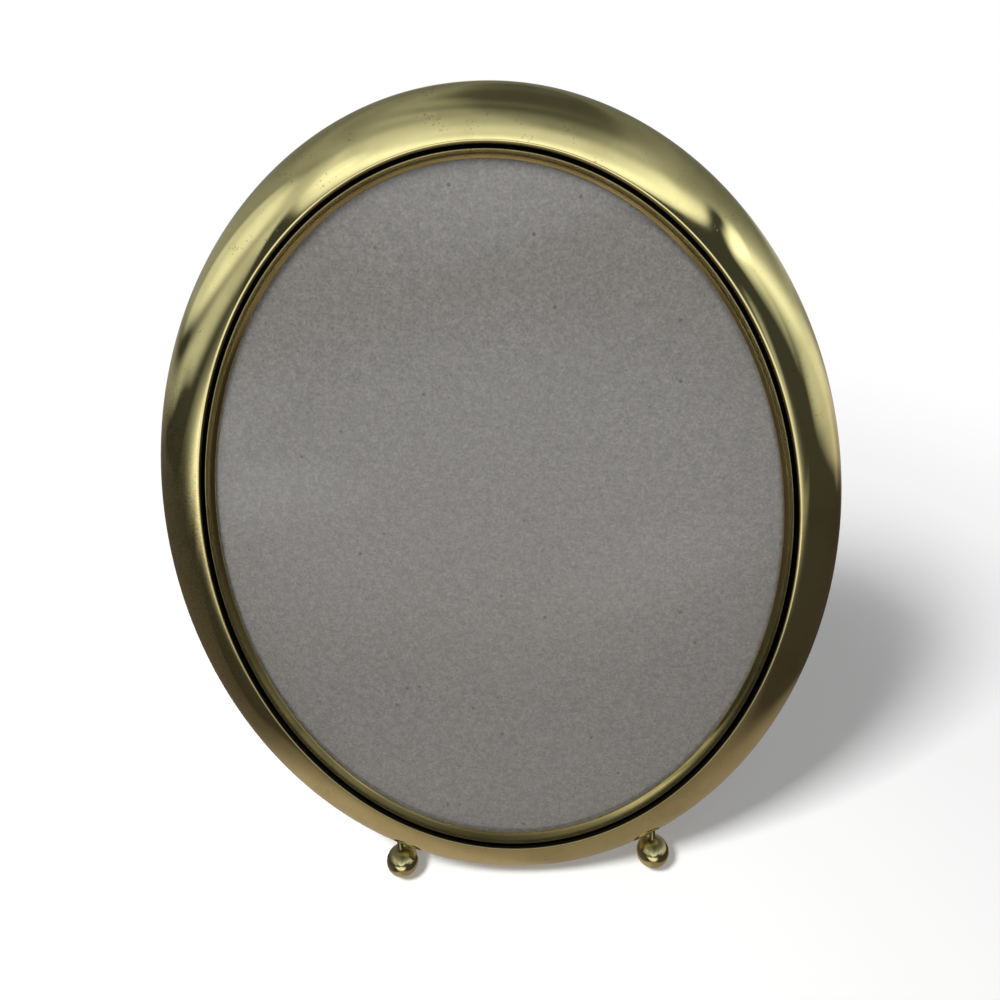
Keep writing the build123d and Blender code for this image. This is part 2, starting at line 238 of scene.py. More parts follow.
def line(start, end, count):
    """Evenly spaced points of a straight run, without its end."""
    return np.linspace(start, end, count, endpoint=False)


CREST, DOME = (4.4, -1.35), (4.4, -11.0)
moulding_section = np.concatenate((
    line((2.4, -5.1), (2.4, -4.4), 2),
    line((2.4, -4.4), (3.05, -4.4), 3),
    line((3.05, -4.4), (3.05, -1.35), 6),
    arc(CREST, (1.35, 1.35), 180, 90, 24)[:-1],
    arc(DOME, (15.5, 11.0), 90, 0, 56)[:-1],
    line((19.9, -11.0), (19.9, -12.4), 3),
    arc((19.5, -12.4), (0.4, 0.4), 0, -90, 5),
    line((19.1, -12.8), (16.9, -12.8), 2),
    line((16.9, -12.8), (16.9, -12.0), 2),
    line((16.9, -12.0), (19.2, -12.0), 2),
    line((19.2, -12.0), (19.2, -11.0), 2),
    arc(DOME, (14.8, 10.3), 0, 90, 18)[:-1],
    arc(CREST, (0.65, 0.65), 90, 180, 6)[:-1],
    line((3.75, -1.35), (3.75, -5.1), 3),
    line((3.75, -5.1), (2.4, -5.1), 2),
))
print("Section of the moulding:", len(moulding_section), "points")

# %% [markdown]
# ## Painted shade in the groove
# The groove between ring and lip is painted black, as shade. The share of painted shade falls off over the
# roll of the crest, and reaches further out towards the bottom.

# %% The ring, with painted shade in its groove
# Painted shade in the groove: full within a reach of 3.2 mm, none beyond 4.1 mm, further out towards the
# bottom
GROOVE_FULL_SHADE, GROOVE_NO_SHADE = 3.2, 4.1
SHADE_FURTHER_BELOW = 0.5


def ramp(value, low, high):
    """Smooth step: 0 below low, 1 above high, and 3 t t - 2 t t t between them."""
    t = np.clip((np.asarray(value, float) - low) / (high - low), 0, 1)
    return t * t * (3 - 2 * t)


bottom_share = ramp(-np.sin(round_oval), -0.5, 0.5)
painted_groove_shade = ramp(SHADE_FURTHER_BELOW * bottom_share - moulding_section[:, 0], -GROOVE_NO_SHADE, -GROOVE_FULL_SHADE)
moulding = make_piece("moulding", [round_sight(moulding_section)], painted_shade=painted_groove_shade)
place(moulding, "frame", "polished_brass", "front_moulding")

# %% [markdown]
# ## The sight liner
# Inside the ring lies a second brass strip. Its lip slopes down to the glass in a slight hollow, and its wall
# runs back to hold the glass, the card and the boards. It is swept just like the ring, and the small round on
# each of its edges is what catches the thin line of light along the glass. Painted shade lies on the outer
# half of the lip, more of it towards the bottom, and a painted dark reflection covers the lip at the lower
# left.

# %% Section of the liner
LIP_HOLLOW = 0.18
LIP_NORMAL = np.array((-0.82, 0.572))
LIP_STEPS = 18
# Painted shade on the lip's outer half and wall, more towards the bottom; a painted dark reflection over the
# lower left
OUTER_SHADE, BOTTOM_SHADE, WALL_SHADE, LOWER_LEFT_PAINTED_DARK = 0.25, 0.6, 0.15, 0.62
OUTER_HALF, OUTER_WALL, WHOLE_LIP = (0.6, 1.6), (2.1, 2.3), (-0.1, 0.35)
LOWER_LEFT_TURN = radians(40)

down_lip = line(0, 1, LIP_STEPS)[:, None]
hollow = 4 * LIP_HOLLOW * down_lip * (1 - down_lip) * LIP_NORMAL
liner_section = np.concatenate((
    line((0.0, -4.0), (0.0, -3.447), 2),
    arc((0.15, -3.447), (0.15, 0.15), 180, 145.1, 4),
    line((0.04, -3.343), (1.754, -0.884), LIP_STEPS) - hollow,
    arc((2.0, -1.055), (0.3, 0.3), 145.1, 0, 14),
    line((2.3, -1.2), (2.3, -11.0), 10),
    line((2.3, -11.0), (1.7, -11.0), 2),
    line((1.7, -11.0), (1.7, -4.0), 4),
    line((1.7, -4.0), (0.0, -4.0), 4),
))
lip_reach = liner_section[:, 0]
outer_half = (OUTER_SHADE + BOTTOM_SHADE * bottom_share) * ramp(lip_reach, *OUTER_HALF)
outer_wall = WALL_SHADE * ramp(lip_reach, *OUTER_WALL)
lower_left = ramp(-np.sin(round_oval + LOWER_LEFT_TURN), 0.1, 0.9) * ramp(lip_reach, *WHOLE_LIP)
lip_painted_shade = np.maximum(outer_half + outer_wall, LOWER_LEFT_PAINTED_DARK * lower_left)
liner = make_piece("liner", [round_sight(liner_section)], painted_shade=lip_painted_shade)
place(liner, "frame", "polished_brass", "sight_liner")

# %% [markdown]
# ## Glass and card
# Behind the lip lie the pane and a chipboard insert, both cut to the same oval. Each is a slab whose rows run
# from the middle of its face, over a slightly rounded rim, to the middle of its back. Drawn this way the
# faces are truly flat, so the pane bends no light that it shouldn't, and a hair's gap keeps pane and card
# apart.

# %% Oval slabs
PANE_HALF = (92.05, 117.3)
FACE_RINGS, BACK_RINGS, SLAB_STEPS = 39, 7, 256
RIM_QUARTER = 4
RIM_STEPS = 2 * RIM_QUARTER + 1


def oval_slab(front, back, rim):
    """Slab of the pane's oval: share * half size at each angle, its depth turning over a round rim."""
    turn = np.radians(np.linspace(90, -90, RIM_STEPS))
    face_share, back_share = np.linspace(0, 1, FACE_RINGS + 1)[:-1], np.linspace(1, 0, BACK_RINGS + 1)[1:]
    share = np.concatenate((face_share, np.ones(RIM_STEPS), back_share))[:, None]
    inset = np.concatenate((np.full(FACE_RINGS, rim), rim * (1 - np.cos(turn)), np.full(BACK_RINGS, rim)))
    rim_centre = (front - rim, (front + back) / 2, back + rim)
    level = np.repeat(rim_centre, (RIM_QUARTER, 1, RIM_QUARTER)) + rim * np.sin(turn)
    depth = np.concatenate((np.full(FACE_RINGS, front), level, np.full(BACK_RINGS, back)))
    angle = np.linspace(0, 2 * pi, SLAB_STEPS, endpoint=False)[None, :]
    x = (PANE_HALF[0] - inset[:, None]) * share * np.cos(angle)
    y = (PANE_HALF[1] - inset[:, None]) * share * np.sin(angle)
    return on_face(x, y, depth[:, None])


pane = make_piece("pane", [oval_slab(front=-4.02, back=-5.95, rim=0.2)], close=(False, True))
place(pane, "frame", "glass", "glass_pane")
insert = make_piece("insert", [oval_slab(front=-6.0, back=-7.6, rim=0.15)], close=(False, True))
place(insert, "frame", "grey_chipboard", "filler_card")

# %% [markdown]
# ## Ball feet
# Each foot is a turned brass ball on a stud. Turned work is a profile spun round an axis, so a profile of
# radius and height is enough: the first and last points lie on the axis and close the surface at its poles.
# Painted shade darkens the top of each ball and its stud, where they sit under the ring.

# %% Turned pieces
FOOT_X = 48.75
FOOT_Y = -131.749
FOOT_DEPTH = -8.6
FOOT_RADIUS = 6.2
# Painted shade on the top of each ball and its stud, under the ring
FOOT_SHADE = 0.6
FOOT_SHADE_FROM, FOOT_SHADE_FULL = 1.0, 5.5


def turned(profile, base, axis, steps):
    """Spin (radius, height) pairs, in mm, round an axis through base: rows go round, columns up."""
    angle = np.linspace(0, 2 * pi, steps, endpoint=False)[:, None]
    radius, height = profile[None, :, 0], profile[None, :, 1]
    return along(base, (ACROSS, np.cross(axis, ACROSS), axis), radius * np.cos(angle), radius * np.sin(angle),
                 np.broadcast_to(height, (steps, len(profile))))


ball = arc((0, 0), (FOOT_RADIUS, FOOT_RADIUS), -90, 79.5, 60)
stud = np.array(((1.1, 6.15), (1.1, 18.7), (0.8, 19.0), (0.0, 19.0)))
foot_profile = np.concatenate((ball, stud))
foot_profile[0, 0] = 0.0
foot_shade = FOOT_SHADE * ramp(foot_profile[:, 1], FOOT_SHADE_FROM, FOOT_SHADE_FULL)
for name, side in (("left", -1), ("right", 1)):
    foot_grid = turned(foot_profile, on_face(side * FOOT_X, FOOT_Y, FOOT_DEPTH), UP_FACE, 96)
    foot = make_piece(f"ball_{name}", [foot_grid], close=(True, False), painted_shade=foot_shade)
    place(foot, "frame", "polished_brass", f"ball_foot_{name}")

# %% [markdown]
# ## Rivets
# The hinge and the turn buttons are held by brass rivets. A set rivet has a low dome, not a cone, so each one
# is turned again: a flat tail, a shank and a domed head, four to a set, in one mesh per CAD node.

# %% Domed rivets
BUTTONS = {"upper_left": 130, "upper_right": 50, "lower_left": 230, "lower_right": 310}
PIVOT_REACH = 9.0
LEAF_SPOTS = [(x, y) for x in (-13, 13) for y in (-6, 6)]
BOARD_LEAF_Y, STRUT_LEAF_Y = 49.2, -16.2


def rivet_profile(shank, head, height, start, end):
    """Half section of a rivet: a flat tail at start, a shank, then a dome of that height past end."""
    tail = np.array(((0.0, start + height), (head, start + height), (head, start), (shank, start)))
    angle = np.radians(np.linspace(0, 90, 9))
    dome = np.stack((head * np.cos(angle), end - height * np.sin(angle)), -1)
    dome[-1, 0] = 0.0
    return np.concatenate((tail, ((shank, end),), dome))


def pivot(angle):
    """Place of a turn button: the oval's point at an angle, plus a reach along its normal; and that way."""
    nx, ny = HALF_HEIGHT * cos(radians(angle)), HALF_WIDTH * sin(radians(angle))
    out = np.array((nx, ny)) / np.hypot(nx, ny)
    spot = np.array((HALF_WIDTH * cos(radians(angle)), HALF_HEIGHT * sin(radians(angle)))) + PIVOT_REACH * out
    return spot, out


def rivet_set(name, profile, spots, axis, steps):
    """Equal rivets in one mesh, each turned round the axis through its own spot."""
    return make_piece(name, [turned(profile, spot, axis, steps) for spot in spots], close=(True, False))


profile = rivet_profile(shank=1.5, head=3.2, height=0.9, start=-11.0, end=-13.56)
spots = [on_face(*pivot(angle)[0], 0) for angle in BUTTONS.values()]
rivets = rivet_set("pivot_rivets", profile, spots, OUT, 48)
place(rivets, "frame", "brass_hardware", "button_rivets")

profile = rivet_profile(shank=1.2, head=2.6, height=0.6, start=-9.0, end=-12.8)
spots = [on_face(x, BOARD_LEAF_Y + y, 0) for x, y in LEAF_SPOTS]
rivets = rivet_set("leaf_rivets", profile, spots, OUT, 40)
place(rivets, "frame", "brass_hardware", "board_rivets")

profile = rivet_profile(shank=1.2, head=2.6, height=0.6, start=1.7, end=-2.0)
spots = [on_strut(x, STRUT_LEAF_Y + y, 0) for x, y in LEAF_SPOTS]
rivets = rivet_set("strut_leaf_rivets", profile, spots, OUT_STRUT, 40)
place(rivets, "strut", "brass_hardware", "strut_rivets")

# %% [markdown]
# ## Turn buttons
# Four brass tongues swing over the back to hold it in. Each is stamped from sheet, so its edge is slightly
# rounded, and its tip is sprung towards the board. The outline is the hull of two circles; rows go round it,
# and columns run from the pivot hole over the top, round the edge and back under to the hole.

# %% Stamped tongues
ARM, PIVOT_RADIUS, TIP_RADIUS, HOLE = 12.0, 5.0, 4.0, 1.58
TONGUE_TOP, TONGUE_THICK, TONGUE_ROUND = -12.48, 1.0, 0.3
SPRING, SPRING_FROM, SPRING_TO = 0.35, 5, 14


def tongue_outline(count):
    """Hull of the pivot's circle and the tip's: each direction picks the circle that reaches further."""
    angle = np.linspace(0, 2 * pi, count, endpoint=False)
    way = np.stack((np.cos(angle), np.sin(angle)), -1)
    on_tip = ARM * np.cos(angle) > PIVOT_RADIUS - TIP_RADIUS
    centre = np.where(on_tip[:, None], (ARM, 0.0), (0.0, 0.0))
    return centre + np.where(on_tip, TIP_RADIUS, PIVOT_RADIUS)[:, None] * way, way


def tongue(spot, out):
    """Grid of one turn button: hole to edge on top, a rounded edge, then back under, bent at the tip."""
    edge, way = tongue_outline(120)
    polar = np.arctan2(edge[:, 1], edge[:, 0])
    hole = HOLE * np.stack((np.cos(polar), np.sin(polar)), -1)
    turn = np.radians(np.linspace(0, 180, 9))
    inset = TONGUE_ROUND * (1 - np.sin(turn))
    rim_level = np.where(turn < pi / 2, -TONGUE_ROUND, TONGUE_ROUND - TONGUE_THICK)
    share = np.linspace(0, 1, 7)[:-1]
    top = hole[:, None] + share[None, :, None] * (edge - TONGUE_ROUND * way - hole)[:, None]
    rim = edge[:, None] - inset[None, :, None] * way[:, None]
    flat = np.concatenate((top, rim, top[:, ::-1]), 1)
    depth = np.concatenate((np.zeros(6), rim_level + TONGUE_ROUND * np.cos(turn), np.full(6, -TONGUE_THICK)))
    spring = SPRING * ramp(flat[..., 0], SPRING_FROM, SPRING_TO)
    ahead, beside = -out, np.array((out[1], -out[0]))
    x = spot[0] + flat[..., 0] * ahead[0] + flat[..., 1] * beside[0]
    y = spot[1] + flat[..., 0] * ahead[1] + flat[..., 1] * beside[1]
    return on_face(x, y, TONGUE_TOP + depth[None, :] + spring)


for corner, angle in BUTTONS.items():
    button = make_piece(f"tongue_{corner}", [tongue(*pivot(angle))])
    place(button, f"button_{corner}", "brass_hardware", f"turn_button_{corner}")

# %% [markdown]
# ## Velvet
# The board and the strut are faced with black velvet, cut to shape and glued down flat. Each sheet is thin
# and closed: a face, an edge that rolls over, and a back against the board. Cloth that is stretched and glued
# has no folds to simulate, so its life comes from the finish: pile that lies one way, and marks brushed in.

# %% Cloth on the back board
cover_grid = oval_slab(front=-11.4, back=-12.0, rim=0.28)
board_velvet = make_piece("board_velvet", [cover_grid], close=(False, True))
place(board_velvet, "frame", "velvet", "back_cover")

# %% Cloth on the strut
STRUT_TOP, STRUT_FOOT = -3.2, -168.071
TOP_HALF, FOOT_HALF, STRUT_CORNER = 26.0, 19.0, 5.0
CLOTH_MIDDLE, CLOTH_ROUND = -0.95, 0.25
TYPICAL_HALF = 20
EDGE_SHARE = CLOTH_ROUND / TYPICAL_HALF
CLOSER_AT_TOP = 1.5


def strut_half(y):
    """Half width of the strut at a height: a straight taper, less the round of the top corners."""
    taper = FOOT_HALF + (TOP_HALF - FOOT_HALF) * (y - STRUT_FOOT) / (STRUT_TOP - STRUT_FOOT)
    drop = np.clip(STRUT_CORNER - (STRUT_TOP - y), 0, STRUT_CORNER)
    return taper - STRUT_CORNER + np.sqrt(STRUT_CORNER**2 - drop**2)


def strut_sheet(rows=90, columns=25):
    """Thin taper above the floor: rows go down, columns cross the face, roll over, and return behind."""
    y = STRUT_TOP - (STRUT_TOP - STRUT_FOOT) * np.linspace(0, 1, rows) ** CLOSER_AT_TOP
    face = np.linspace(-1, 1, columns) * (1 - EDGE_SHARE)
    turn = np.radians(np.linspace(90, -90, 7))[1:-1]
    edge = 1 - EDGE_SHARE * (1 - np.cos(turn))
    across = np.concatenate((face, edge, face[::-1], -edge[::-1]))
    front, over = np.full(columns, -1.0), -np.sin(turn)
    bulge = CLOTH_ROUND * np.concatenate((front, over, -front, over[::-1]))
    open_rows = np.ones((rows, 1))
    open_rows[[0, -1]] = 0.0
    grid = on_strut(strut_half(y)[:, None] * across, y[:, None], CLOTH_MIDDLE + bulge * open_rows)
    grid[..., 2] = np.maximum(grid[..., 2], 0.0)
    return grid


strut_velvet = make_piece("strut_velvet", [strut_sheet()], close=(False, True))
place(strut_velvet, "strut", "velvet", "strut_cover")

# %% [markdown]
# ## Ways to write a finish
# A finish is a small graph of nodes. Short helpers keep the graphs readable: one adds a node and sets or
# joins its inputs, and others add the nodes that come up most, for sums, mixed colours, stretched ranges and
# noise. Effects that several finishes share are node groups.

# %% Node helpers


def add(tree, kind, inputs=None, **settings):
    """Add a shader node; an input that is a socket is joined, and any other value is set."""
    node = tree.nodes.new("ShaderNode" + kind)
    for key, value in settings.items():
        setattr(node, key, value)
    for key, value in (inputs or {}).items():
        if isinstance(value, bpy.types.NodeSocket):
            tree.links.new(value, node.inputs[key])
        else:
            node.inputs[key].default_value = value
    return node


def maths(tree, operation, a, b=0.0, c=0.0, clamp=False):
    """One Math node; the value that it puts out. MULTIPLY_ADD is a * b + c."""
    return add(tree, "Math", {0: a, 1: b, 2: c}, operation=operation, use_clamp=clamp).outputs[0]


def mixed(tree, factor, a, b):
    """One colour mixed into another; the colour that it puts out."""
    return add(tree, "Mix", {0: factor, 6: a, 7: b}, data_type="RGBA").outputs[2]


def spread(tree, value, low, high, to_low=0.0, to_high=1.0):
    """A value between low and high, carried smoothly over to a new range."""
    limits = {0: value, 1: low, 2: high, 3: to_low, 4: to_high}
    return add(tree, "MapRange", limits, interpolation_type="SMOOTHSTEP").outputs[0]


def noise(tree, spot, scale, detail, roughness=0.5, distortion=0.0):
    """Cloudy noise about 0.5 at a place; scale is the number of lumps in a metre."""
    return add(tree, "TexNoise", {"Vector": spot, "Scale": scale, "Detail": detail, "Roughness": roughness,
                                  "Distortion": distortion}).outputs[0]


def new_finish(name):
    """An empty material with its node tree."""
    material = bpy.data.materials.new(name)
    material.use_nodes = True
    material.node_tree.nodes.clear()
    return material, material.node_tree


def output(tree, shader):
    """Join a shader to the material's output."""
    add(tree, "OutputMaterial", {"Surface": shader})


def new_group(name, inputs, outputs):
    """An empty node group with named sockets: inputs as (name, kind, value), outputs as (name, kind)."""
    group = bpy.data.node_groups.new(name, "ShaderNodeTree")
    for label, kind, value in inputs:
        socket = group.interface.new_socket(label, in_out="INPUT", socket_type="NodeSocket" + kind)
        if value is not None:
            socket.default_value = value
    for label, kind in outputs:
        group.interface.new_socket(label, in_out="OUTPUT", socket_type="NodeSocket" + kind)
    return group, group.nodes.new("NodeGroupInput").outputs, group.nodes.new("NodeGroupOutput").inputs


def give(group, given, **sockets):
    """Join values inside a node group to its outputs by name."""
    for label, socket in sockets.items():
        group.links.new(socket, given[label])
    print(f"{group.name} group: {len(group.nodes)} nodes")


def use_group(tree, group, inputs):
    """Place a node group and set or join its inputs; its outputs by name."""
    return add(tree, "Group", inputs, node_tree=group).outputs


def dress(names, material):
    """Give CAD nodes or pieces a finish in place of their plain colour."""
    for name in names:
        mesh = bpy.data.objects[name].data
        mesh.materials.clear()
        mesh.materials.append(material)
    print(f"{material.name}: on {', '.join(names)}")


# %% [markdown]
# ## Worn polish
# Old polished brass is a mirror with a history: cloudy patches where the lacquer has thinned, pinhead specks
# of tarnish, hair lines from years of dusting, and a fine grit that has dulled the left edge of the ring. One
# group makes them all from a place on the piece, and lays over them the painted shade that the mesh stores,
# a near-black. Every metal here uses it with its own colours and amounts.

# %% The group for worn metal
# Near-black of the painted shade
PAINTED_SHADE_COLOUR = (0.012, 0.009, 0.006, 1)
DULL_FROM, DULL_TO = -0.084, -0.100

worn, taken, given = new_group(
    "worn_metal",
    [("Place", "Vector", None), ("Clean", "Color", (0.88, 0.74, 0.30, 1)),
     ("Tarnish", "Color", (0.4, 0.3, 0.1, 1)), ("Specks", "Float", 0.5), ("Clouds", "Float", 0.5),
     ("Gloss", "Float", 0.1), ("PaintedShade", "Float", 0.0)],
    [("Color", "Color"), ("Roughness", "Float"), ("Height", "Float")])
spot = taken["Place"]
cloud = spread(worn, noise(worn, spot, scale=60, detail=4, roughness=0.6), 0.42, 0.72)
veil = maths(worn, "MULTIPLY", cloud, taken["Clouds"])
dots = add(worn, "TexVoronoi", {"Vector": spot, "Scale": 900.0, "Randomness": 1.0}).outputs["Distance"]
dot_size = spread(worn, noise(worn, spot, scale=150, detail=3), 0.45, 0.75, 0.0, 0.42)
speck = spread(worn, maths(worn, "SUBTRACT", dot_size, dots), -0.05, 0.12)
speck = maths(worn, "MULTIPLY", speck, taken["Specks"])
left_edge = spread(worn, add(worn, "SeparateXYZ", {0: spot}).outputs[0], DULL_FROM, DULL_TO)
grit = spread(worn, noise(worn, spot, scale=1900, detail=3, roughness=0.7), 0.40, 0.62, 0.0, 0.55)
grit = maths(worn, "MULTIPLY", grit, left_edge)
hair = noise(worn, spot, scale=2600, detail=2)
stain = maths(worn, "ADD", maths(worn, "MULTIPLY_ADD", veil, 0.5, grit), speck, clamp=True)
colour = mixed(worn, stain, taken["Clean"], taken["Tarnish"])
# Painted shade: the near-black mixed in by the share that the mesh stores
colour = mixed(worn, taken["PaintedShade"], colour, PAINTED_SHADE_COLOUR)
rough = maths(worn, "MULTIPLY_ADD", veil, 0.10, taken["Gloss"])
rough = maths(worn, "MULTIPLY_ADD", speck, 0.25, rough, clamp=True)
rough = maths(worn, "MULTIPLY_ADD", taken["PaintedShade"], 0.45, rough, clamp=True)
height = maths(worn, "SUBTRACT", maths(worn, "MULTIPLY", hair, 0.3), speck)
give(worn, given, Color=colour, Roughness=rough, Height=height)

# %% The metals
METAL_RELIEF = 0.00005


def metal(name, clean, tarnish, specks, clouds, gloss, bump):
    """A metal from the worn group, read at each piece's own place."""
    material, tree = new_finish(name)
    spot = add(tree, "TexCoord").outputs["Object"]
    # Share of painted shade stored at each point of the mesh
    painted_shade = add(tree, "Attribute", attribute_name="painted_shade").outputs["Fac"]
    wear = use_group(tree, worn, {"Place": spot, "Clean": (*clean, 1), "Tarnish": (*tarnish, 1),
                                  "Specks": specks, "Clouds": clouds, "Gloss": gloss, "PaintedShade": painted_shade})
    relief = add(tree, "Bump", {"Strength": bump, "Distance": METAL_RELIEF, "Height": wear["Height"]})
    shader = add(tree, "BsdfPrincipled", {"Base Color": wear["Color"], "Roughness": wear["Roughness"],
                                          "Normal": relief.outputs[0], "Metallic": 1.0})
    output(tree, shader.outputs[0])
    return material


polished_brass = metal("polished_brass", (0.90, 0.79, 0.37), (0.42, 0.33, 0.14),
                       specks=0.35, clouds=0.45, gloss=0.035, bump=0.05)
brass_hardware = metal("brass_hardware", (0.80, 0.63, 0.29), (0.36, 0.26, 0.11),
                       specks=0.5, clouds=0.7, gloss=0.24, bump=0.2)
plated_steel = metal("plated_steel", (0.66, 0.60, 0.44), (0.34, 0.29, 0.19),
                     specks=0.6, clouds=0.8, gloss=0.30, bump=0.25)
# The liner's brass: a darker copy of the ring's polished brass, painted shade for the recessed lip
shaded_brass = metal("shaded_brass", (0.66, 0.54, 0.22), (0.32, 0.22, 0.08),
                   specks=0.3, clouds=0.7, gloss=0.08, bump=0.05)
dress(["moulding", "ball_left", "ball_right"], polished_brass)
dress(["liner"], shaded_brass)
dress(["foot_block_left", "foot_block_right", "button_washers", "pivot_rivets", "leaf_rivets",
       "strut_leaf_rivets"] + [f"tongue_{corner}" for corner in BUTTONS], brass_hardware)
dress(["back_ring", "hinge_board_leaf", "hinge_strut_leaf", "hinge_pin"], plated_steel)

# %% [markdown]
# ## Board and card
# The insert behind the glass is grey chipboard: pressed paper pulp, with fine fibres lying every way, faint
# mottling and a few dark flecks. The other boards are pulp too, so one group draws fibres and flecks for all.

# %% The group for pulp
pulp, taken, given = new_group(
    "pulp",
    [("Place", "Vector", None), ("Ground", "Color", (0.4, 0.4, 0.4, 1)),
     ("Dark", "Color", (0.2, 0.2, 0.2, 1)), ("Pale", "Color", (0.5, 0.5, 0.5, 1)), ("Flecks", "Float", 0.5)],
    [("Color", "Color"), ("Height", "Float")])
spot = taken["Place"]
broad = noise(pulp, spot, scale=450, detail=4, roughness=0.7)
fibre = noise(pulp, spot, scale=1500, detail=5, roughness=0.8, distortion=0.4)
flecks = add(pulp, "TexVoronoi", {"Vector": spot, "Scale": 220.0}).outputs
rare = spread(pulp, add(pulp, "SeparateColor", {0: flecks["Color"]}).outputs[0], 0.85, 0.93)
fleck = maths(pulp, "MULTIPLY", spread(pulp, flecks["Distance"], 0.17, 0.08), rare)
fleck = maths(pulp, "MULTIPLY", fleck, taken["Flecks"])
ground = mixed(pulp, spread(pulp, broad, 0.38, 0.64, 0.0, 0.9), taken["Ground"], taken["Pale"])
ground = mixed(pulp, spread(pulp, fibre, 0.62, 0.36, 0.0, 0.55), ground, taken["Dark"])
colour = mixed(pulp, fleck, ground, taken["Dark"])
give(pulp, given, Color=colour, Height=maths(pulp, "SUBTRACT", fibre, fleck))

# %% The boards
PULP_RELIEF = 0.0002


def board(name, ground, dark, pale, flecks, roughness, bump):
    """A pulp board with its own three tones."""
    material, tree = new_finish(name)
    spot = add(tree, "TexCoord").outputs["Object"]
    look = use_group(tree, pulp, {"Place": spot, "Ground": (*ground, 1), "Dark": (*dark, 1),
                                  "Pale": (*pale, 1), "Flecks": flecks})
    relief = add(tree, "Bump", {"Strength": bump, "Distance": PULP_RELIEF, "Height": look["Height"]})
    shader = add(tree, "BsdfPrincipled", {"Base Color": look["Color"], "Normal": relief.outputs[0],
                                          "Roughness": roughness})
    output(tree, shader.outputs[0])
    return material


grey_chipboard = board("grey_chipboard", (0.258, 0.240, 0.224), (0.075, 0.070, 0.063), (0.334, 0.306, 0.286),
                       flecks=0.8, roughness=0.9, bump=0.012)
corrugated_card = board("corrugated_card", (0.36, 0.24, 0.13), (0.22, 0.14, 0.07), (0.44, 0.31, 0.18),
                        flecks=0.3, roughness=0.9, bump=0.3)
dark_board = board("dark_board", (0.022, 0.022, 0.025), (0.01, 0.01, 0.012), (0.04, 0.04, 0.044),
                   flecks=0.3, roughness=0.8, bump=0.35)
dress(["insert"], grey_chipboard)
dress(["spacer_pad"], corrugated_card)
dress(["back_board", "easel_strut"], dark_board)

# %% [markdown]
# ## Velvet finish
# Velvet looks dark head on and pale at a glance, because its pile stands up and scatters light sideways. The
# shader's sheen does that, while noise drawn out along the pile and a broad brushed pattern vary the black.

# %% Velvet
PILE_DRAWN = (1.0, 0.35, 0.35)
PILE_RELIEF = 0.0003
DEEP_BLACK, SOFT_BLACK = (0.006, 0.006, 0.008, 1), (0.034, 0.034, 0.039, 1)

velvet, tree = new_finish("velvet")
spot = add(tree, "TexCoord").outputs["Object"]
drawn = add(tree, "Mapping", {"Vector": spot, "Scale": PILE_DRAWN}).outputs[0]
tuft = noise(tree, drawn, scale=2200, detail=3, roughness=0.7)
brushed = noise(tree, spot, scale=28, detail=3, distortion=0.8)
shade = maths(tree, "MULTIPLY", spread(tree, tuft, 0.3, 0.7, 0.35, 1.0),
              spread(tree, brushed, 0.35, 0.68, 0.55, 1.0))
colour = mixed(tree, shade, DEEP_BLACK, SOFT_BLACK)
relief = add(tree, "Bump", {"Strength": 0.5, "Distance": PILE_RELIEF, "Height": tuft}).outputs[0]
shader = add(tree, "BsdfPrincipled", {"Base Color": colour, "Normal": relief, "Roughness": 0.95,
                                      "Sheen Weight": 0.35, "Sheen Roughness": 0.4,
                                      "Sheen Tint": (0.75, 0.78, 0.85, 1)})
output(tree, shader.outputs[0])
dress(["board_velvet", "strut_velvet"], velvet)

# %% [markdown]
# ## Glass
# The pane is thin and clear with a breath of green. Lamps would be blocked by a refracting surface, so rays
# that ask for shadow or diffuse light pass straight through, and the card behind is lit as it would be.

# %% Glass
glass, tree = new_finish("glass")
sheet = add(tree, "BsdfPrincipled", {"Base Color": (0.99, 0.995, 0.99, 1), "Roughness": 0.0, "IOR": 1.5,
                                     "Transmission Weight": 1.0})
clear = add(tree, "BsdfTransparent", {"Color": (0.975, 0.98, 0.975, 1)})
light_path = add(tree, "LightPath").outputs
through = maths(tree, "MAXIMUM", light_path["Is Shadow Ray"], light_path["Is Diffuse Ray"])
output(tree, add(tree, "MixShader", {0: through, 1: sheet.outputs[0], 2: clear.outputs[0]}).outputs[0])
dress(["pane"], glass)

# %% [markdown]
# ## Light tent
# A polished ring shows its surroundings, so the surroundings are designed like any other piece. The tent is a
# wide dome that only mirrors see. Its glow is a base level plus soft panels, each with a direction, a half
# size, a turn, a level, a bend and an edge, and panels of a negative level stand for dark gaps in the tent.
# A dark oval overhead and a broad pale panel straight ahead, which veils the glass, complete it.

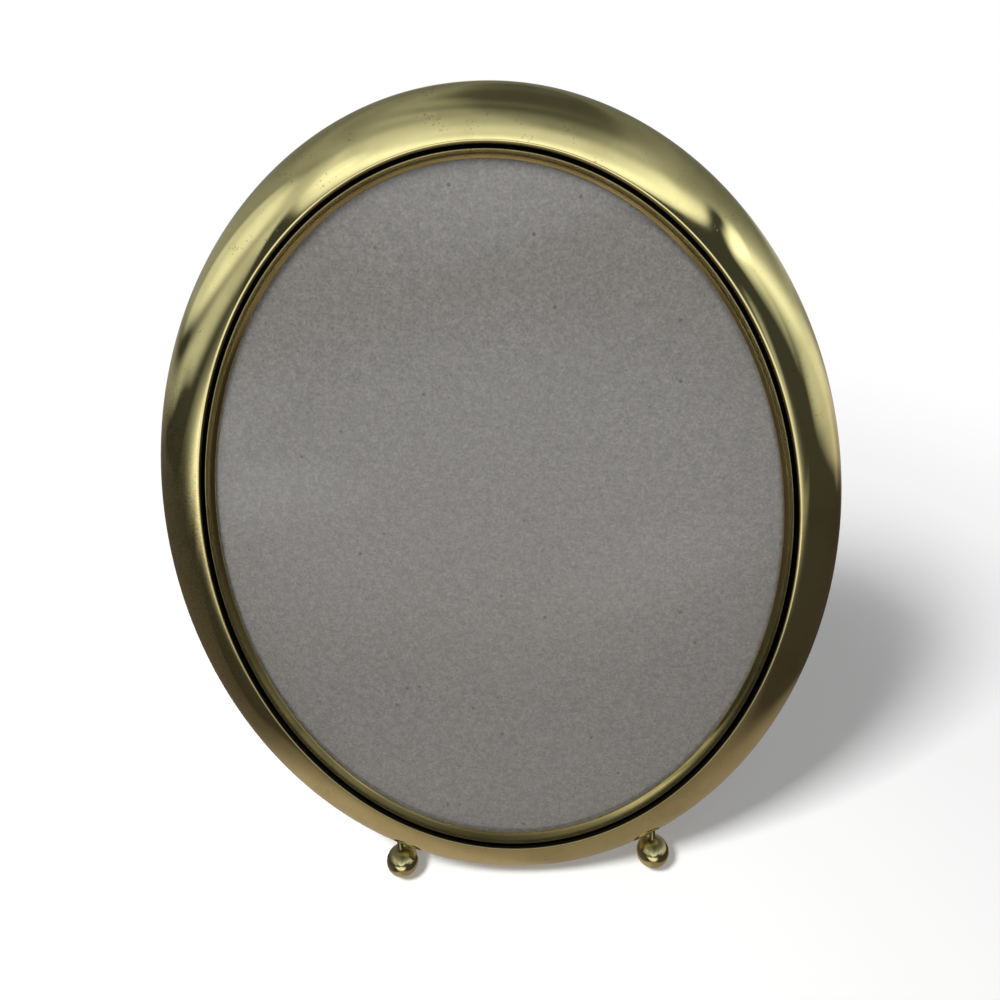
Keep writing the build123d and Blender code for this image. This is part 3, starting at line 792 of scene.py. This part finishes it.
# %% Panels of the tent
TENT_BASE = (0.20, -0.075, -0.03, -0.005)
TENT_DARKEST = 0.045
TENT_PANELS = np.array((
    (-43, 35, 34.6, 17.5, 24.5, 0.32, 0.13, 3.1),
    (-0.6, 25, 27.5, 6.8, -8, 0.68, -0.95, 1.5),
    (69, 8, 45.6, 28.5, -35, 0.41, -0.38, 2.3),
    (67, 15, 99, 14.8, -27, 0.70, 0.15, 1.9),
    (-74.5, 36.7, 26.7, 10.8, 25.7, 0.38, 0.93, 4.4),
    (-96, -19, 97, 68, 31, 0.11, 0.67, 3.9),
    (-35, 68, 34.7, 11.2, -6.7, 1.21, 0.25, 1.0),
    (91, -11.8, 70, 30.8, -11, -0.51, 0.08, 2.6),
    (-78, -19.6, 75, 26.9, 17, -0.28, -0.05, 4.1),
    (145, -12.6, 54, 14.1, -33, 0.48, 0.12, 2.7),
    (-35.5, 68.5, 33.6, 10.3, -3.8, -0.98, 0.26, 1.3),
    (-177, 2, 6.8, 15.8, -1.2, 0.95, -1.5, 1.4),
    (-20.5, 2.7, 14.7, 6.5, -13, 1.60, 0.18, 1.0),
    (45, 33.7, 14, 2.5, 24.3, -0.95, 0.41, 1.6),
    (12.4, 11.3, 48, 13.1, 18.5, -1.20, 0.24, 2.5),
    (28.4, 10.2, 14.1, 9.8, 75.7, 0.38, 1.31, 5.4),
    (11.2, 6.3, 16.2, 11.9, 44.4, 0.65, -0.01, 3.5),
    (21.7, 11.6, 18.5, 8.1, 2.4, 0.44, 0.87, 2.6),
    (44.1, 19.3, 10.1, 8.2, -42, 0.29, -0.33, 3.5),
    (60, 9.5, 38.1, 13.9, -31, -0.21, 0, 4.0),
    (5, 17.5, 40, 3.0, 24, -0.69, 0, 2.3),
    (54, 32.1, 14, 3.0, 13, 0.49, 0, 2.6),
    (-78, 20.4, 40, 3.7, 21, -0.40, 0, 0.9),
    (-59, 11.3, 36.4, 3.7, 16, -0.26, 0, 1.3),
    (-17, 15.7, 22.4, 3.8, -54, -0.66, 0, 4.0),
    (-26, 39.4, 4.5, 5.6, 52, 0.22, 0, 3.5),
    (112, -21.4, 40, 3.9, -23, -0.16, 0, 3.0),
    (-64, 11, 10, 6, 20, -0.28, 0, 1.5),
))
OVERHEAD_SPOT, OVERHEAD_HALF, OVERHEAD_EDGE, OVERHEAD_SHADE = (0.24, 0.155), (0.31, 1.04), 5, 0.45
OVERHEAD_FROM = 0.2
AHEAD_SPOT, AHEAD_HALF, AHEAD_EDGE, AHEAD_LEVEL = (-4, 1), (25, 14), 2.5, 0.92
WARM, COOL = np.array((1.0, 0.85, 0.79)), np.array((1.0, 1.05, 1.08))
WARM_BELOW, COOL_ABOVE = -30, 15
print("Panels of the tent:", len(TENT_PANELS))


def soft_oval(u, v, edge):
    """exp(-(u*u + v*v)**edge): 1 well inside the unit circle and 0 well outside, crisper for a high edge."""
    return np.exp(-(np.minimum(u * u + v * v, 50) ** edge))


def tent_glow(azimuth, elevation):
    """Base + slopes + the sum over panels of level * soft oval, dimmed overhead, plus one ahead; tinted."""
    base, rise, sway, face = TENT_BASE
    level_part = sway * np.sin(azimuth) + face * np.cos(azimuth)
    glow = base + rise * np.sin(elevation) + np.cos(elevation) * level_part
    for a, e, wide, high, turn, level, bend, edge in TENT_PANELS:
        x = ((azimuth - radians(a) + pi) % (2 * pi) - pi) * cos(radians(e))
        y = elevation - radians(e) + bend * x * x
        u = (x * cos(radians(turn)) + y * sin(radians(turn))) / radians(wide)
        v = (y * cos(radians(turn)) - x * sin(radians(turn))) / radians(high)
        glow = glow + level * soft_oval(u, v, edge)
    flat = 1 / np.maximum(np.tan(elevation), 1e-3)
    u = (flat * np.sin(azimuth) - OVERHEAD_SPOT[0]) / OVERHEAD_HALF[0]
    v = (-flat * np.cos(azimuth) - OVERHEAD_SPOT[1]) / OVERHEAD_HALF[1]
    overhead = np.where(elevation > OVERHEAD_FROM, soft_oval(u, v, OVERHEAD_EDGE), 0.0)
    u = (np.degrees(azimuth) - AHEAD_SPOT[0]) / AHEAD_HALF[0]
    v = (np.degrees(elevation) - AHEAD_SPOT[1]) / AHEAD_HALF[1]
    ahead = AHEAD_LEVEL * soft_oval(u, v, AHEAD_EDGE)
    glow = np.maximum(glow, TENT_DARKEST) * (1 - OVERHEAD_SHADE * overhead) + ahead
    height = ramp(np.degrees(elevation), WARM_BELOW, COOL_ABOVE)[..., None]
    return glow[..., None] * (WARM + (COOL - WARM) * height)


# %% Tent that the brass reflects
TENT_RADIUS = 3.0

azimuth, elevation = np.linspace(-pi, pi, 481)[:-1], np.linspace(-pi / 2, pi / 2, 241)
azimuth, elevation = np.meshgrid(azimuth, elevation, indexing="ij")
dome = TENT_RADIUS * np.stack((np.cos(elevation) * np.sin(azimuth), -np.cos(elevation) * np.cos(azimuth),
                               np.sin(elevation)), -1)
tent_mesh = bpy.data.meshes.new("tent")
tent_mesh.from_pydata(dome.reshape(-1, 3), [], grid_faces(*dome.shape[:2], True, False)[0].tolist())
glow = tent_glow(azimuth, elevation)
attribute = tent_mesh.attributes.new("glow", "FLOAT_COLOR", "POINT")
attribute.data.foreach_set("color", np.concatenate((glow, np.ones_like(glow[..., :1])), -1).ravel())
tent_mesh.shade_smooth()
tent = bpy.data.objects.new("tent", tent_mesh)
scene.collection.objects.link(tent)
material, tree = new_finish("tent_glow")
tint = add(tree, "Attribute", attribute_name="glow").outputs["Color"]
output(tree, add(tree, "Emission", {"Color": tint, "Strength": 1.0}).outputs[0])
tent_mesh.materials.append(material)
for ray in ("camera", "diffuse", "transmission", "volume_scatter", "shadow"):
    setattr(tent, "visible_" + ray, False)
print("Tent glows from", round(glow.min(), 3), "to", round(glow.max(), 3))

# %% [markdown]
# ## Floor and sky
# The floor is pale and takes a soft shadow, and away from the object it fades into the white sky. Rays that
# look at floor and sky, straight or by a mirror or through glass, see them white. Rays that gather light for
# the cloth and the card find both of them dimmer, so that colours come out as they are written.

# %% Floor
FLOOR_HALF = 3
SEEN_TONE, LIGHT_TONE = (0.95, 0.95, 0.95, 1), (0.35, 0.35, 0.35, 1)
FLOOR_LIFT = 0.15
FADE_FROM, FADE_TO = 0.16, 0.45
WHITE = (1, 1, 1, 1)


def looking(tree):
    """1 for a ray from the camera, a mirror or glass, and 0 for one that gathers light."""
    rays = add(tree, "LightPath").outputs
    seen = maths(tree, "ADD", rays["Is Camera Ray"], rays["Is Glossy Ray"])
    return maths(tree, "ADD", seen, rays["Is Transmission Ray"], clamp=True)


floor_mesh = bpy.data.meshes.new("floor")
corners = [(FLOOR_HALF * x, FLOOR_HALF * y, 0) for x, y in ((-1, -1), (1, -1), (1, 1), (-1, 1))]
floor_mesh.from_pydata(corners, [], [(0, 1, 2, 3)])
floor = bpy.data.objects.new("floor", floor_mesh)
scene.collection.objects.link(floor)
material, tree = new_finish("pale_floor")
spot = add(tree, "TexCoord").outputs["Object"]
distance = add(tree, "VectorMath", {0: spot}, operation="LENGTH").outputs["Value"]
seen = looking(tree)
white = maths(tree, "MULTIPLY", seen, spread(tree, distance, FADE_FROM, FADE_TO))
paper = add(tree, "BsdfDiffuse", {"Color": mixed(tree, seen, LIGHT_TONE, SEEN_TONE)})
lift = add(tree, "Emission", {"Color": WHITE, "Strength": maths(tree, "MULTIPLY", seen, FLOOR_LIFT)})
near = add(tree, "AddShader", {0: paper.outputs[0], 1: lift.outputs[0]})
far = add(tree, "Emission", {"Color": WHITE, "Strength": 1.0})
output(tree, add(tree, "MixShader", {0: white, 1: near.outputs[0], 2: far.outputs[0]}).outputs[0])
floor_mesh.materials.append(material)
floor.visible_glossy = False
print("Floor fades to white from", FADE_FROM, "m to", FADE_TO, "m")

# %% Sky
SKY_LIGHT, SKY_SEEN = 0.20, 1.0

world = bpy.data.worlds.new("sky")
scene.world = world
world.use_nodes = True
tree = world.node_tree
tree.nodes.clear()
strength = spread(tree, looking(tree), 0.0, 1.0, SKY_LIGHT, SKY_SEEN)
background = add(tree, "Background", {"Color": WHITE, "Strength": strength})
add(tree, "OutputWorld", {"Surface": background.outputs[0]})
print("Sky lights with", SKY_LIGHT, "and is seen at", SKY_SEEN)

# %% [markdown]
# ## Lamps
# Three lamps share the work. One from above on the left lights the floor alone, and so gives the shadow. Two
# broad ones, in front and behind, light the object alone, because they would wash that shadow out.

# %% Lamps


def lamp(name, spot, target, size, watts, receivers):
    """A square area lamp aimed at a target, for some objects only; mirrors see the tent and not the lamp."""
    light = bpy.data.lights.new(name, "AREA")
    light.size = size
    light.energy = watts
    lit = bpy.data.objects.new(name, light)
    lit.matrix_world = aimed(spot, target, (0, 0, 1))
    lit.visible_glossy = False
    scene.collection.objects.link(lit)
    lit.light_linking.receiver_collection = receivers
    print(f"{name} lamp: {watts} W")


floor_only = bpy.data.collections.new("floor_only")
floor_only.objects.link(floor)
not_floor = bpy.data.collections.new("not_floor")
not_floor.objects.link(floor)
not_floor.collection_objects[0].light_linking.link_state = "EXCLUDE"
lamp("side", (-0.48, -0.28, 1.06), (0, 0, 0.10), size=0.28, watts=12.0, receivers=floor_only)
lamp("front", (-0.05, -0.5, 0.72), (0, 0, 0.12), size=0.5, watts=3.8, receivers=not_floor)
lamp("back", (0.25, 0.55, 0.6), (0, 0.03, 0.12), size=0.5, watts=1.3, receivers=not_floor)
scene.view_settings.view_transform = "Standard"
